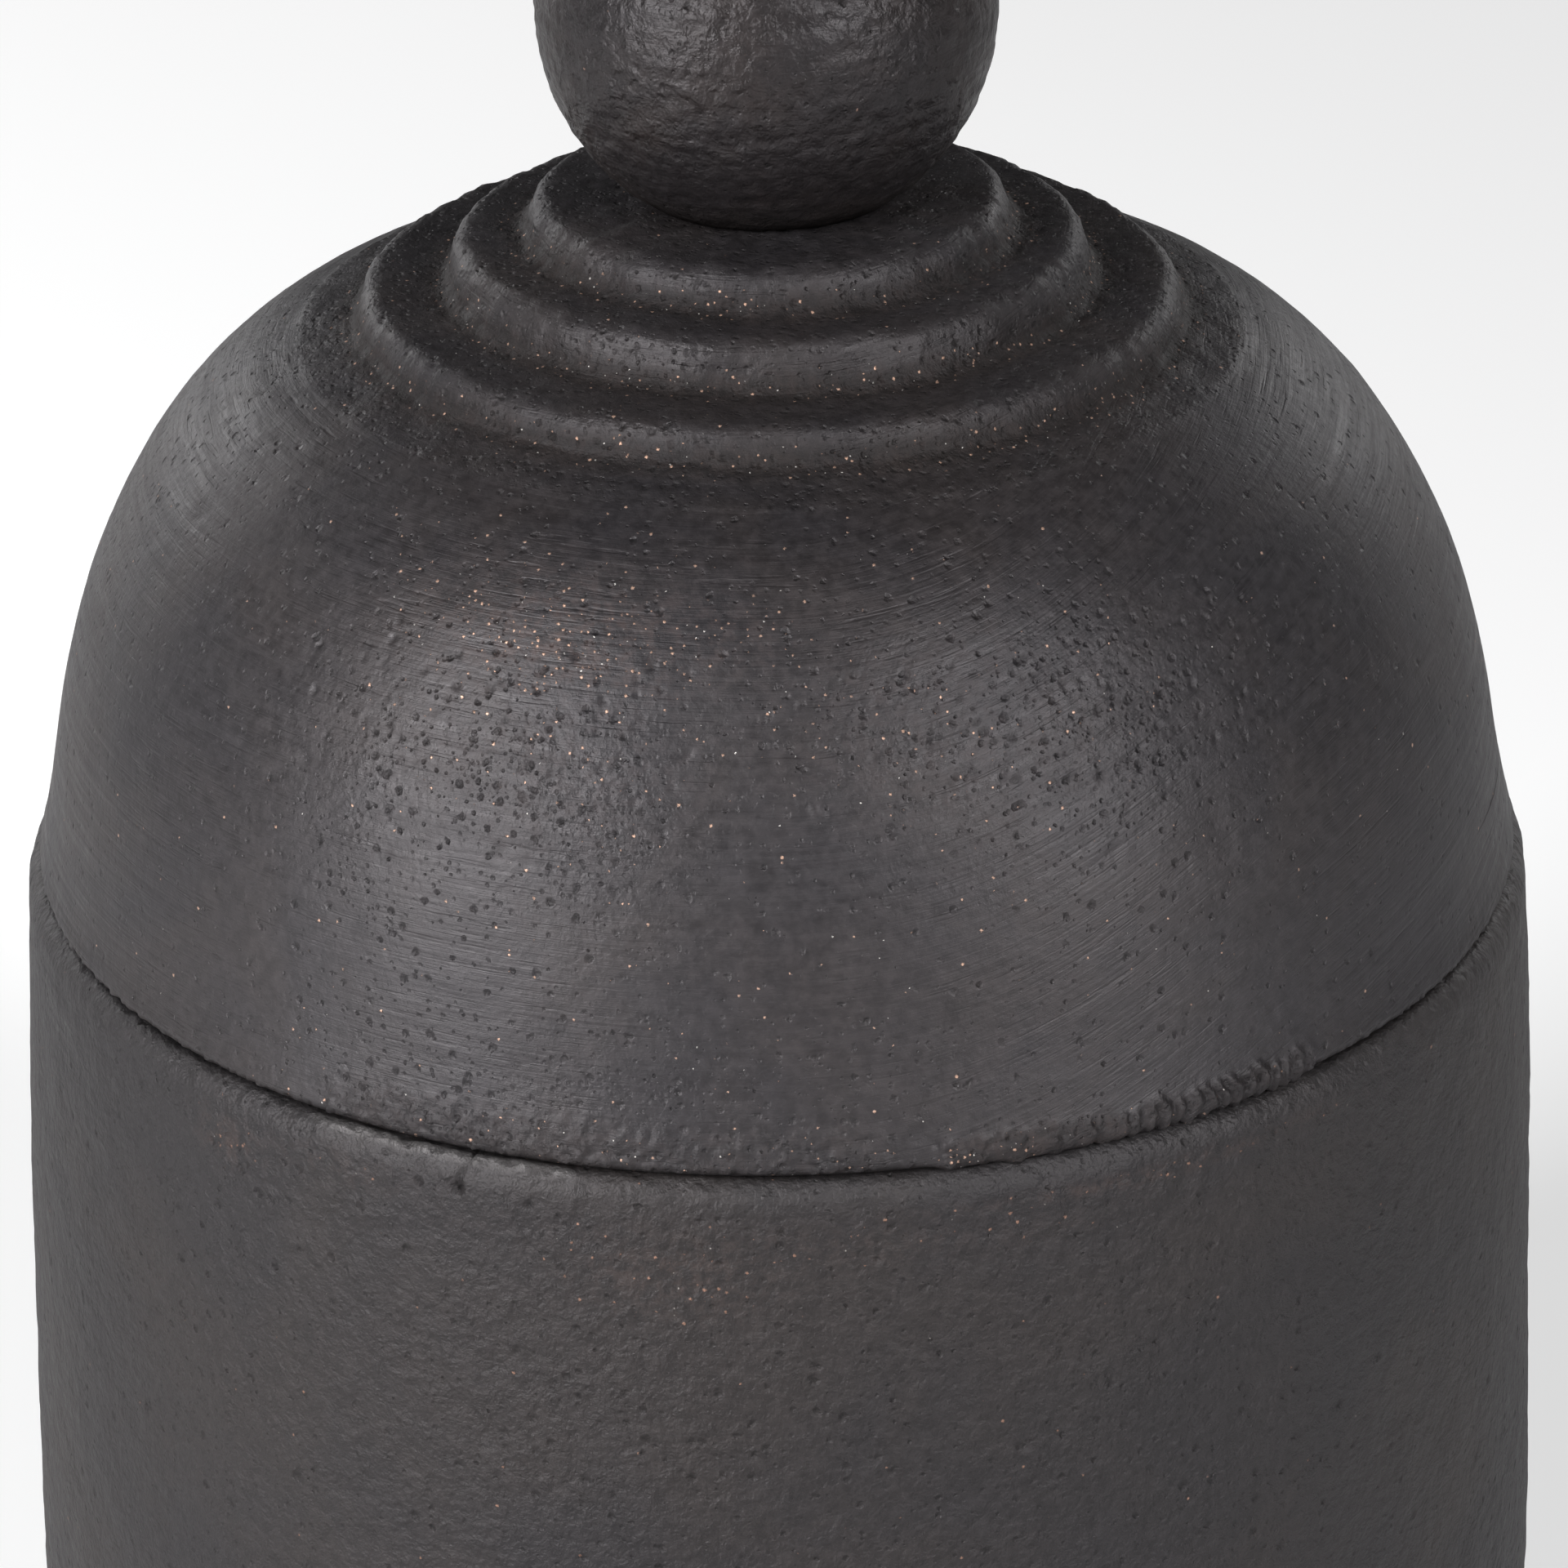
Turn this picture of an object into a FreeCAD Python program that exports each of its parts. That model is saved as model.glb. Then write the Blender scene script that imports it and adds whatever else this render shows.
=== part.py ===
import FreeCAD, Part
import math
import os

# Empty candle jar in black cast iron: a slightly bellied jar, a domed lid with three stepped
# rings, and a ball knob held from inside the lid by a stud, two washers and a nut.
# Millimetres, +Z up, origin on the table under the middle of the jar.

# Jar
rim_radius = 50.0
rim_height = 92.0
rim_edge_radius = 1.25
belly_radius = 51.82
belly_drop = 38.75
foot_radius = 52.54
foot_drop = 76.25
foot_edge_radius = 5.0
cavity_radius = 44.5
cavity_floor = 8.0
cavity_top = 81.5
cavity_corner_radius = 2.0
mouth_radius = 45.7
mouth_chamfer = 0.6
base_recess_radius = 28.0
base_recess_depth = 1.5

# Feet under the jar
pad_count = 4
pad_radius = 6.0
pad_thickness = 2.2
pad_proud = 1.0
pad_pitch_radius = 36.0
pad_pocket_clearance = 0.2
pad_edge_radius = 0.4

# Lid: radius and height above the rim, from the rim up to the foot of the lowest ring
dome_outline = [(49.2, 0.0), (46.6, 13.0), (41.4, 26.0), (34.15, 33.75), (26.35, 37.0)]
lid_edge_radius = 0.6
ring_radii = [26.0, 20.1, 15.0]
ring_heights = [39.1, 42.35, 44.95]
ring_edge_radius = 0.8
ring_corner_radius = 0.7
ring_lean = 0.2
spigot_radius = 45.0
spigot_depth = 8.0
spigot_inner_radius = 40.5
hollow_shoulder = (40.5, 16.0)
hollow_haunch = (35.0, 26.9)
hollow_crown = (20.0, 34.4)
boss_radius = 11.5
boss_height = 38.4

# Seal ring in the spigot's groove
seal_outer_radius = 45.4
seal_width = 2.8
seal_thickness = 1.7
seal_clearance = 0.3
seal_lip_radius = 0.7
seal_height = rim_height - 4.0

# Ball knob and its M6 fastening
ball_radius = 14.6
ball_centre_rise = 12.2
thread_radius = 3.0
thread_clearance = 0.05
stud_length = 30.0
stud_reach_into_ball = 13.5
bore_beyond_stud = 1.0
stud_chamfer = 0.6
stud_hole_radius = 3.3
washer_radius = 6.0
washer_hole_radius = 3.2
washer_thickness = 1.6
lock_washer_radius = 5.9
lock_washer_hole_radius = 3.1
lock_washer_thickness = 1.6
lock_washer_slit = 0.9
lock_washer_slit_tilt = 25
nut_across_flats = 10.0
nut_thickness = 5.0
nut_chamfer_angle = 30

platform_height = rim_height + ring_heights[-1]
boss_face = rim_height + boss_height


def spot(radius, height):
    return FreeCAD.Vector(radius, 0, height)


def line(start, end):
    return Part.LineSegment(start, end).toShape()


def arc(start, through, end):
    return Part.Arc(start, through, end).toShape()


def turn(edges):
    # A closed half section spun into a solid about the jar's axis.
    section = Part.Face(Part.Wire(edges))
    return section.revolve(FreeCAD.Vector(0, 0, 0), FreeCAD.Vector(0, 0, 1), 360)


def straight_outline(corners):
    loop = corners[1:] + corners[:1]
    return [line(spot(*start), spot(*end)) for start, end in zip(corners, loop)]


def tube(outer, inner, bottom, top):
    return turn(straight_outline([(inner, bottom), (outer, bottom), (outer, top), (inner, top)]))


def cylinder(radius, bottom, height, across=0.0, angle=0.0):
    centre = FreeCAD.Vector(across, 0, bottom)
    upright = FreeCAD.Vector(0, 0, 1)
    shape = Part.makeCylinder(radius, height, centre, upright)
    shape.rotate(FreeCAD.Vector(0, 0, 0), upright, angle)
    return shape


def circles_at(shape, radius, height):
    # The round edges of a turned solid with this radius and height.
    found = []
    for edge in shape.Edges:
        curve = edge.Curve
        if not isinstance(curve, Part.Circle):
            continue
        if abs(curve.Radius - radius) < 0.01 and abs(curve.Center.z - height) < 0.01:
            found.append(edge)
    return found


def pad_angles():
    return [45 + 360 / pad_count * number for number in range(pad_count)]


def make_jar_body():
    wall_top = spot(rim_radius, rim_height - rim_edge_radius)
    belly = spot(belly_radius, rim_height - belly_drop)
    wall_foot = spot(foot_radius, rim_height - foot_drop)
    foot_top = spot(foot_radius, pad_proud + foot_edge_radius)
    foot_bottom = spot(foot_radius - foot_edge_radius, pad_proud)
    recess_top = pad_proud + base_recess_depth
    rim_outer = spot(rim_radius - rim_edge_radius, rim_height)
    rim_inner = spot(mouth_radius + mouth_chamfer, rim_height)
    mouth_top = spot(mouth_radius, rim_height - mouth_chamfer)
    mouth_bottom = spot(mouth_radius, cavity_top + mouth_radius - cavity_radius)
    wall_inner_foot = spot(cavity_radius, cavity_floor + cavity_corner_radius)
    floor_edge = spot(cavity_radius - cavity_corner_radius, cavity_floor)

    slant = math.sqrt(0.5)
    foot_mid = spot(
        foot_radius - foot_edge_radius * (1 - slant),
        pad_proud + foot_edge_radius * (1 - slant),
    )
    rim_mid = spot(
        rim_radius - rim_edge_radius * (1 - slant),
        rim_height - rim_edge_radius * (1 - slant),
    )
    corner_mid = spot(
        cavity_radius - cavity_corner_radius * (1 - slant),
        cavity_floor + cavity_corner_radius * (1 - slant),
    )

    jar = turn([
        arc(rim_outer, rim_mid, wall_top),
        arc(wall_top, belly, wall_foot),
        line(wall_foot, foot_top),
        arc(foot_top, foot_mid, foot_bottom),
        line(foot_bottom, spot(base_recess_radius, pad_proud)),
        line(spot(base_recess_radius, pad_proud), spot(base_recess_radius, recess_top)),
        line(spot(base_recess_radius, recess_top), spot(0, recess_top)),
        line(spot(0, recess_top), spot(0, cavity_floor)),
        line(spot(0, cavity_floor), floor_edge),
        arc(floor_edge, corner_mid, wall_inner_foot),
        line(wall_inner_foot, spot(cavity_radius, cavity_top)),
        line(spot(cavity_radius, cavity_top), mouth_bottom),
        line(mouth_bottom, mouth_top),
        line(mouth_top, rim_inner),
        line(rim_inner, rim_outer),
    ])
    pocket_radius = pad_radius + pad_pocket_clearance
    for angle in pad_angles():
        jar = jar.cut(cylinder(pocket_radius, 0, pad_thickness, pad_pitch_radius, angle))
    return jar


def make_foot_pad(angle):
    pad = cylinder(pad_radius, 0, pad_thickness, pad_pitch_radius, angle)
    bottom_edges = [edge for edge in pad.Edges if edge.BoundBox.ZMax < 0.01]
    return pad.makeFillet(pad_edge_radius, bottom_edges)


def make_lid_dome():
    dome = Part.BSplineCurve()
    dome.interpolate([spot(radius, rim_height + rise) for radius, rise in dome_outline])
    ring_foot = spot(dome_outline[-1][0], rim_height + dome_outline[-1][1])

    # Up the risers and in along the treads to the platform under the ball.
    steps = [ring_foot]
    for number, (radius, rise) in enumerate(zip(ring_radii, ring_heights)):
        steps.append(spot(radius, rim_height + rise))
        if number + 1 < len(ring_radii):
            steps.append(spot(ring_radii[number + 1] + ring_lean, rim_height + rise))
    steps.append(spot(stud_hole_radius, platform_height))
    risers = [line(start, end) for start, end in zip(steps, steps[1:])]

    shoulder = spot(hollow_shoulder[0], rim_height + hollow_shoulder[1])
    haunch = spot(hollow_haunch[0], rim_height + hollow_haunch[1])
    crown = spot(hollow_crown[0], rim_height + hollow_crown[1])
    spigot_bottom = rim_height - spigot_depth
    lid = turn([
        dome.toShape(),
        *risers,
        line(spot(stud_hole_radius, platform_height), spot(stud_hole_radius, boss_face)),
        line(spot(stud_hole_radius, boss_face), spot(boss_radius, boss_face)),
        line(spot(boss_radius, boss_face), crown),
        arc(crown, haunch, shoulder),
        line(shoulder, spot(spigot_inner_radius, spigot_bottom)),
        line(spot(spigot_inner_radius, spigot_bottom), spot(spigot_radius, spigot_bottom)),
        line(spot(spigot_radius, spigot_bottom), spot(spigot_radius, rim_height)),
        line(spot(spigot_radius, rim_height), spot(dome_outline[0][0], rim_height)),
    ])

    groove_floor = seal_outer_radius - seal_thickness - seal_clearance
    half_groove = seal_width / 2 + seal_clearance
    groove = tube(spigot_radius + 1, groove_floor, seal_height - half_groove, seal_height + half_groove)
    lid = lid.cut(groove)

    crests = []
    corners = []
    for radius, rise in zip(ring_radii, ring_heights):
        crests += circles_at(lid, radius, rim_height + rise)
    for radius, rise in zip(ring_radii[1:], ring_heights):
        corners += circles_at(lid, radius + ring_lean, rim_height + rise)
    lid = lid.makeFillet(ring_edge_radius, crests)
    lid = lid.makeFillet(ring_corner_radius, corners)
    return lid.makeFillet(lid_edge_radius, circles_at(lid, dome_outline[0][0], rim_height))


def make_lid_seal_ring():
    half_width = seal_width / 2
    ring = tube(
        seal_outer_radius,
        seal_outer_radius - seal_thickness,
        seal_height - half_width,
        seal_height + half_width,
    )
    lips = circles_at(ring, seal_outer_radius, seal_height - half_width)
    lips += circles_at(ring, seal_outer_radius, seal_height + half_width)
    return ring.makeFillet(seal_lip_radius, lips)


def make_ball_knob():
    centre = FreeCAD.Vector(0, 0, platform_height + ball_centre_rise)
    ball = Part.makeSphere(ball_radius, centre)
    below = cylinder(ball_radius, platform_height - ball_radius, ball_radius)
    bore_depth = stud_reach_into_ball + bore_beyond_stud
    bore = cylinder(thread_radius + thread_clearance, platform_height, bore_depth)
    return ball.cut(below).cut(bore)


def make_knob_stud():
    top = platform_height + stud_reach_into_ball
    stud = cylinder(thread_radius, top - stud_length, stud_length)
    ends = circles_at(stud, thread_radius, top) + circles_at(stud, thread_radius, top - stud_length)
    return stud.makeChamfer(stud_chamfer, ends)


def make_knob_washer():
    return tube(washer_radius, washer_hole_radius, boss_face - washer_thickness, boss_face)


def make_knob_lock_washer():
    top = boss_face - washer_thickness
    bottom = top - lock_washer_thickness
    ring = tube(lock_washer_radius, lock_washer_hole_radius, bottom, top)
    corner = FreeCAD.Vector(0, -lock_washer_slit / 2, bottom)
    slit = Part.makeBox(lock_washer_radius + 1, lock_washer_slit, lock_washer_thickness, corner)
    slit.rotate(FreeCAD.Vector(0, 0, (top + bottom) / 2), FreeCAD.Vector(1, 0, 0), lock_washer_slit_tilt)
    return ring.cut(slit)


def make_knob_nut():
    top = boss_face - washer_thickness - lock_washer_thickness
    bottom = top - nut_thickness
    corner_radius = nut_across_flats / 2 / math.cos(math.radians(30))
    corners = []
    for side in range(7):    # the seventh corner closes the hexagon
        angle = math.radians(60 * side)
        corners.append(FreeCAD.Vector(
            corner_radius * math.cos(angle),
            corner_radius * math.sin(angle),
            bottom,
        ))
    hexagon = Part.Face(Part.makePolygon(corners))
    nut = hexagon.extrude(FreeCAD.Vector(0, 0, nut_thickness))

    # Both faces are turned down to the width across flats.
    flat_radius = nut_across_flats / 2
    drop = (corner_radius - flat_radius) * math.tan(math.radians(nut_chamfer_angle))
    envelope = turn(straight_outline([
        (0, bottom),
        (flat_radius, bottom),
        (corner_radius, bottom + drop),
        (corner_radius, top - drop),
        (flat_radius, top),
        (0, top),
    ]))
    bore = cylinder(thread_radius + thread_clearance, bottom, nut_thickness)
    return nut.common(envelope).cut(bore)


pieces = {
    "jar_body": make_jar_body(),
    "lid_dome": make_lid_dome(),
    "lid_seal_ring": make_lid_seal_ring(),
    "ball_knob": make_ball_knob(),
    "knob_stud": make_knob_stud(),
    "knob_washer": make_knob_washer(),
    "knob_lock_washer": make_knob_lock_washer(),
    "knob_nut": make_knob_nut(),
}
for number, angle in enumerate(pad_angles(), start=1):
    pieces[f"foot_pad_{number}"] = make_foot_pad(angle)

os.makedirs("parts", exist_ok=True)
for name, shape in pieces.items():
    shape.exportStep(f"parts/{name}.step")
    box = shape.BoundBox
    print(f"{name}: {len(shape.Solids)} solid, z {box.ZMin:.2f} to {box.ZMax:.2f}, {shape.Volume / 1000:.2f} cm3")
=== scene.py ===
import bpy
import bmesh
import math
from mathutils import Matrix, Vector, noise


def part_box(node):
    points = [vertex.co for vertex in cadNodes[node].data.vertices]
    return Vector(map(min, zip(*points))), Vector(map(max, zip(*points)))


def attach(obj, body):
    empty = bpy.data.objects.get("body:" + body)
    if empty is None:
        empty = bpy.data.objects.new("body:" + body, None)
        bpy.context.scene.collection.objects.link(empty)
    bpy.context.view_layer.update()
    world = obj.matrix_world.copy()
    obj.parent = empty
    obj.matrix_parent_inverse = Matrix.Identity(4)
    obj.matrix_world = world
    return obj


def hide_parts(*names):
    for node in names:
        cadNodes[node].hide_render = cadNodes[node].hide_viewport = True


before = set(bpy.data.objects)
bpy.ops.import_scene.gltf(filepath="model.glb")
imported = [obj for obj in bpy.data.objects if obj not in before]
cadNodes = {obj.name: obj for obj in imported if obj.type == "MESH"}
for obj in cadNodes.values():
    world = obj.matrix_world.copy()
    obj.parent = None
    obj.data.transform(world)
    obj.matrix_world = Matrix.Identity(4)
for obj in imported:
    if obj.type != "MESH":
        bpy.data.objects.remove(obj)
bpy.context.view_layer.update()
print("frame loaded with", len(cadNodes), "nodes")

mm = 0.001
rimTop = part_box("jar_body")[1][2] / mm      # where the lid's flange rests
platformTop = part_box("lid_dome")[1][2] / mm
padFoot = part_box("jar_body")[0][2] / mm     # the iron starts here, on its pads


# outlines are lists of radius and height, in mm
def arcAround(centre, radius, startAngle, endAngle, count):
    spots = []
    for step in range(count + 1):
        angle = math.radians(startAngle + (endAngle - startAngle) * step / count)
        spots.append((centre[0] + radius * math.cos(angle), centre[1] + radius * math.sin(angle)))
    return spots


def flowThrough(spots, spacing):
    # a smooth run through given spots
    run = []
    padded = [spots[0]] + spots + [spots[-1]]
    for before, start, end, after in zip(padded, padded[1:], padded[2:], padded[3:]):
        length = math.dist(start, end)
        if length == 0:
            continue
        count = max(1, round(length / spacing))
        for step in range(count):
            t = step / count
            run.append(tuple(
                0.5 * (2 * b + (c - a) * t + (2 * a - 5 * b + 4 * c - d) * t ** 2
                       + (3 * b - a - 3 * c + d) * t ** 3)
                for a, b, c, d in zip(before, start, end, after)
            ))
    run.append(spots[-1])
    return run


def softCorners(spots, spacing):
    # straight runs with a rounded corner at each spot: radius, height, rounding
    run = [spots[0][:2]]
    for before, corner, after in zip(spots, spots[1:], spots[2:]):
        here = Vector(corner[:2])
        back = (Vector(before[:2]) - here).normalized()
        ahead = (Vector(after[:2]) - here).normalized()
        half = back.angle(ahead) / 2
        reach = corner[2] / math.tan(half)
        if corner[2] == 0:
            run += straightRun(run[-1], tuple(here), spacing)
            continue
        start = here + back * reach
        end = here + ahead * reach
        run += straightRun(run[-1], tuple(start), spacing)
        middle = here + (back + ahead).normalized() * corner[2] / math.sin(half)
        for step in range(1, 5):
            lean = (start - middle).lerp(end - middle, step / 4).normalized()
            run.append(tuple(middle + lean * corner[2]))
    run += straightRun(run[-1], spots[-1][:2], spacing)
    return run


def straightRun(start, end, spacing):
    count = max(1, round(math.dist(start, end) / spacing))
    return [
        (start[0] + (end[0] - start[0]) * step / count, start[1] + (end[1] - start[1]) * step / count)
        for step in range(1, count + 1)
    ]


def aboveRim(spots):
    return [(radius, rimTop + height) for radius, height in spots]


# what each vertex of a casting carries for its material
castingMarks = ["wear", "crust", "pitting", "copper", "sunk", "paintedShade"]


def turnOnLathe(outline, turns, closed=True):
    # spins a half section of radius and height pairs, in mm, about the jar's axis
    form = bmesh.new()
    dots = [form.verts.new((radius * mm, 0, height * mm)) for radius, height in outline]
    ends = dots[1:] + dots[:1] if closed else dots[1:]
    lines = [form.edges.new(pair) for pair in zip(dots, ends)]
    bmesh.ops.spin(form, geom=dots + lines, cent=(0, 0, 0), axis=(0, 0, 1),
                   angle=math.tau, steps=turns, use_merge=True)
    bmesh.ops.remove_doubles(form, verts=form.verts, dist=0.002 * mm)
    bmesh.ops.recalc_face_normals(form, faces=form.faces)
    return form


def bearing(point):
    # degrees round the jar from its front, growing to the right
    return math.degrees(math.atan2(point.x, -point.y))


def easeStep(low, high, value):
    t = min(1, max(0, (value - low) / (high - low)))
    return t * t * (3 - 2 * t)


def patchStrength(patches, angle, height, radius):
    # soft round patches on the wall: angle, height, half width, half height, strength
    strength = 0
    for patchAngle, patchHeight, wide, tall, amount in patches:
        up = (height - patchHeight) / tall
        if abs(up) > 2.2:
            continue
        turn = (angle - patchAngle + 180) % 360 - 180
        across = math.radians(turn) * radius / wide
        strength = max(strength, amount * math.exp(-(across * across + up * up)))
    return strength


def sculptCasting(form, shapeAt):
    # pushes each vertex out along its normal, draws it in towards the axis, and keeps its marks
    form.normal_update()
    layers = [form.verts.layers.float.new(name) for name in castingMarks]
    moves = []
    for vert in form.verts:
        rise, drawnIn, marks = shapeAt(vert.co / mm, vert.normal)
        move = vert.normal * rise
        if drawnIn:
            move -= Vector((vert.co.x, vert.co.y, 0)).normalized() * drawnIn
        moves.append(move * mm)
        for layer, mark in zip(layers, marks):
            vert[layer] = mark
    for vert, move in zip(form.verts, moves):
        vert.co += move


def finishPiece(form, name, material, body, replaced, crease=50):
    for face in form.faces:
        face.smooth = True
    for edge in form.edges:
        edge.smooth = len(edge.link_faces) == 2 and edge.calc_face_angle(0) < math.radians(crease)
    mesh = bpy.data.meshes.new(name)
    form.to_mesh(mesh)
    form.free()
    mesh.materials.append(material)
    piece = bpy.data.objects.new(name, mesh)
    bpy.context.scene.collection.objects.link(piece)
    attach(piece, body)
    if replaced:
        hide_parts(*replaced)
    print("made", name, "with", sum(len(p.vertices) - 2 for p in mesh.polygons), "triangles")
    return piece


def place(tree, kind, sockets=None, **settings):
    # adds a node, sets it and wires or fills its sockets
    added = tree.nodes.new(kind)
    for key, value in settings.items():
        setattr(added, key, value)
    for key, value in (sockets or {}).items():
        if isinstance(value, bpy.types.NodeSocket):
            tree.links.new(value, added.inputs[key])
        else:
            added.inputs[key].default_value = value
    return added


def sums(tree, operation, *values):
    return place(tree, "ShaderNodeMath", dict(enumerate(values)), operation=operation).outputs[0]


def spread(tree, value, fromLow, fromHigh, toLow=0.0, toHigh=1.0):
    mapped = place(tree, "ShaderNodeMapRange", {
        "Value": value, "From Min": fromLow, "From Max": fromHigh, "To Min": toLow, "To Max": toHigh,
    }, interpolation_type="SMOOTHSTEP")
    return mapped.outputs["Result"]


def blend(tree, amount, first, second):
    mixed = place(tree, "ShaderNodeMix", {0: amount, 6: first, 7: second}, data_type="RGBA")
    return mixed.outputs[2]


def openGroup(name, inputs, outputs):
    group = bpy.data.node_groups.new(name, "ShaderNodeTree")
    for label, kind, value in inputs:
        socket = group.interface.new_socket(name=label, in_out="INPUT", socket_type="NodeSocket" + kind)
        if value is not None:
            socket.default_value = value
    for label, kind in outputs:
        group.interface.new_socket(name=label, in_out="OUTPUT", socket_type="NodeSocket" + kind)
    given = group.nodes.new("NodeGroupInput").outputs
    results = group.nodes.new("NodeGroupOutput").inputs
    return group, given, results


def useGroup(tree, group, sockets):
    return place(tree, "ShaderNodeGroup", sockets, node_tree=group).outputs


def stretched(tree, vector, scale, turn=(0.0, 0.0, 0.0), shift=(0.0, 0.0, 0.0)):
    return place(tree, "ShaderNodeMapping", {
        "Vector": vector, "Scale": scale, "Rotation": turn, "Location": shift,
    }).outputs["Vector"]


def noiseAt(tree, vector, scale, detail=3.0, roughness=0.55, distortion=0.0):
    return place(tree, "ShaderNodeTexNoise", {
        "Vector": vector, "Scale": scale, "Detail": detail, "Roughness": roughness,
        "Distortion": distortion,
    }).outputs["Fac"]


# sand grain of the casting: fine tooth over coarser lumps
def makeCastGrain():
    group, given, results = openGroup("castGrain", [
        ("Vector", "Vector", None), ("Grain", "Float", 0.5), ("Lumps", "Float", 0.5),
    ], [("Height", "Float")])
    perMillimetre = place(group, "ShaderNodeVectorMath", {0: given["Vector"], "Scale": 1 / mm},
                          operation="SCALE").outputs[0]
    fine = noiseAt(group, perMillimetre, 2.3, 4.0, 0.62)
    coarse = noiseAt(group, perMillimetre, 0.75, 3.0, 0.55, 0.3)
    fineShare = sums(group, "MULTIPLY", fine, given["Grain"])
    coarseShare = sums(group, "MULTIPLY", coarse, given["Lumps"])
    group.links.new(sums(group, "ADD", fineShare, coarseShare), results["Height"])
    return group


# round pits: one bowl per voronoi cell, kept at random by the density
def makeCastPits():
    group, given, results = openGroup("castPits", [
        ("Vector", "Vector", None), ("Spacing", "Float", 1.0), ("Density", "Float", 0.3),
    ], [("Pits", "Float")])
    perSpacing = sums(group, "DIVIDE", 1 / mm, given["Spacing"])
    points = place(group, "ShaderNodeVectorMath", {0: given["Vector"], "Scale": perSpacing},
                   operation="SCALE").outputs[0]
    wobble = place(group, "ShaderNodeTexNoise", {"Vector": points, "Scale": 2.1, "Detail": 2.0})
    pushed = place(group, "ShaderNodeVectorMath", {0: wobble.outputs["Color"], 1: (0.45,) * 3, 2: points},
                   operation="MULTIPLY_ADD").outputs[0]
    cells = place(group, "ShaderNodeTexVoronoi", {"Vector": pushed, "Scale": 1.0})
    chance = place(group, "ShaderNodeSeparateColor", {"Color": cells.outputs["Color"]}).outputs
    kept = sums(group, "LESS_THAN", chance[0], given["Density"])
    radius = spread(group, chance[1], 0.0, 1.0, 0.20, 0.50)
    bowl = spread(group, cells.outputs["Distance"], radius, 0.0)
    group.links.new(sums(group, "MULTIPLY", bowl, kept), results["Pits"])
    return group


# hair-fine marks of a wire brush, drawn round the jar and climbing at one side
def makeBrushMarks():
    group, given, results = openGroup("brushMarks", [
        ("Vector", "Vector", None), ("Climb", "Float", 0.0), ("Share", "Float", 0.5),
    ], [("Height", "Float"), ("Shine", "Float")])
    perMillimetre = place(group, "ShaderNodeVectorMath", {0: given["Vector"], "Scale": 1 / mm},
                          operation="SCALE").outputs[0]
    along = place(group, "ShaderNodeSeparateXYZ", {"Vector": perMillimetre}).outputs
    rightward = spread(group, along[0], -4.0, 34.0, 0.0, 1.0)
    lift = sums(group, "MULTIPLY", sums(group, "MULTIPLY", rightward, given["Climb"]), along[0])
    level = sums(group, "SUBTRACT", along[2], lift)
    turned = place(group, "ShaderNodeCombineXYZ", {0: along[0], 1: along[1], 2: level}).outputs[0]
    hairs = noiseAt(group, stretched(group, turned, (0.09, 0.09, 4.6)), 1.0, 4.0, 0.75)
    bands = noiseAt(group, stretched(group, turned, (0.07, 0.07, 1.7), shift=(3, 7, 1)), 1.0, 3.0, 0.7)
    scored = noiseAt(group, stretched(group, turned, (0.15, 0.15, 2.4), shift=(9, 4, 2)), 1.0, 2.0, 0.6)
    scores = spread(group, scored, 0.60, 0.70)
    where = noiseAt(group, perMillimetre, 0.12, 2.0, 0.5)
    limit = sums(group, "SUBTRACT", 1.0, given["Share"])
    present = spread(group, where, limit, sums(group, "ADD", limit, 0.2))
    both = sums(group, "ADD", hairs, bands)
    marks = sums(group, "SUBTRACT", both, sums(group, "MULTIPLY", scores, 0.5))
    group.links.new(sums(group, "MULTIPLY", marks, present), results["Height"])
    group.links.new(sums(group, "MULTIPLY", sums(group, "SUBTRACT", both, 1.0), present), results["Shine"])
    return group


# rubbed spots: ragged copper-pink flecks, and small pale specks on bare metal painted in as glints, a
# painted highlight
def makeRubbedFlecksAndPaintedGlints():
    group, given, results = openGroup("rubbedFlecksAndPaintedGlints", [
        ("Vector", "Vector", None), ("Spacing", "Float", 1.2), ("Density", "Float", 0.1),
        ("Painted Glint Share", "Float", 0.2),
    ], [("Flecks", "Float"), ("PaintedGlints", "Float")])
    perSpacing = sums(group, "DIVIDE", 1 / mm, given["Spacing"])
    points = place(group, "ShaderNodeVectorMath", {0: given["Vector"], "Scale": perSpacing},
                   operation="SCALE").outputs[0]
    wobble = place(group, "ShaderNodeTexNoise", {"Vector": points, "Scale": 4.0, "Detail": 3.0})
    pushed = place(group, "ShaderNodeVectorMath", {0: wobble.outputs["Color"], 1: (0.55,) * 3, 2: points},
                   operation="MULTIPLY_ADD").outputs[0]
    for label, scale, size in (("Flecks", 1.0, 0.33), ("PaintedGlints", 1.5, 0.26)):
        share = given["Density"]
        if label == "PaintedGlints":
            share = sums(group, "MULTIPLY", share, given["Painted Glint Share"])
        cells = place(group, "ShaderNodeTexVoronoi", {"Vector": pushed, "Scale": scale})
        chance = place(group, "ShaderNodeSeparateColor", {"Color": cells.outputs["Color"]}).outputs
        kept = sums(group, "LESS_THAN", chance[0], share)
        reach = spread(group, chance[1], 0.0, 1.0, size * 0.4, size)
        spot = spread(group, cells.outputs["Distance"], reach, sums(group, "MULTIPLY", reach, 0.5))
        group.links.new(sums(group, "MULTIPLY", spot, kept), results[label])
    return group


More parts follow.
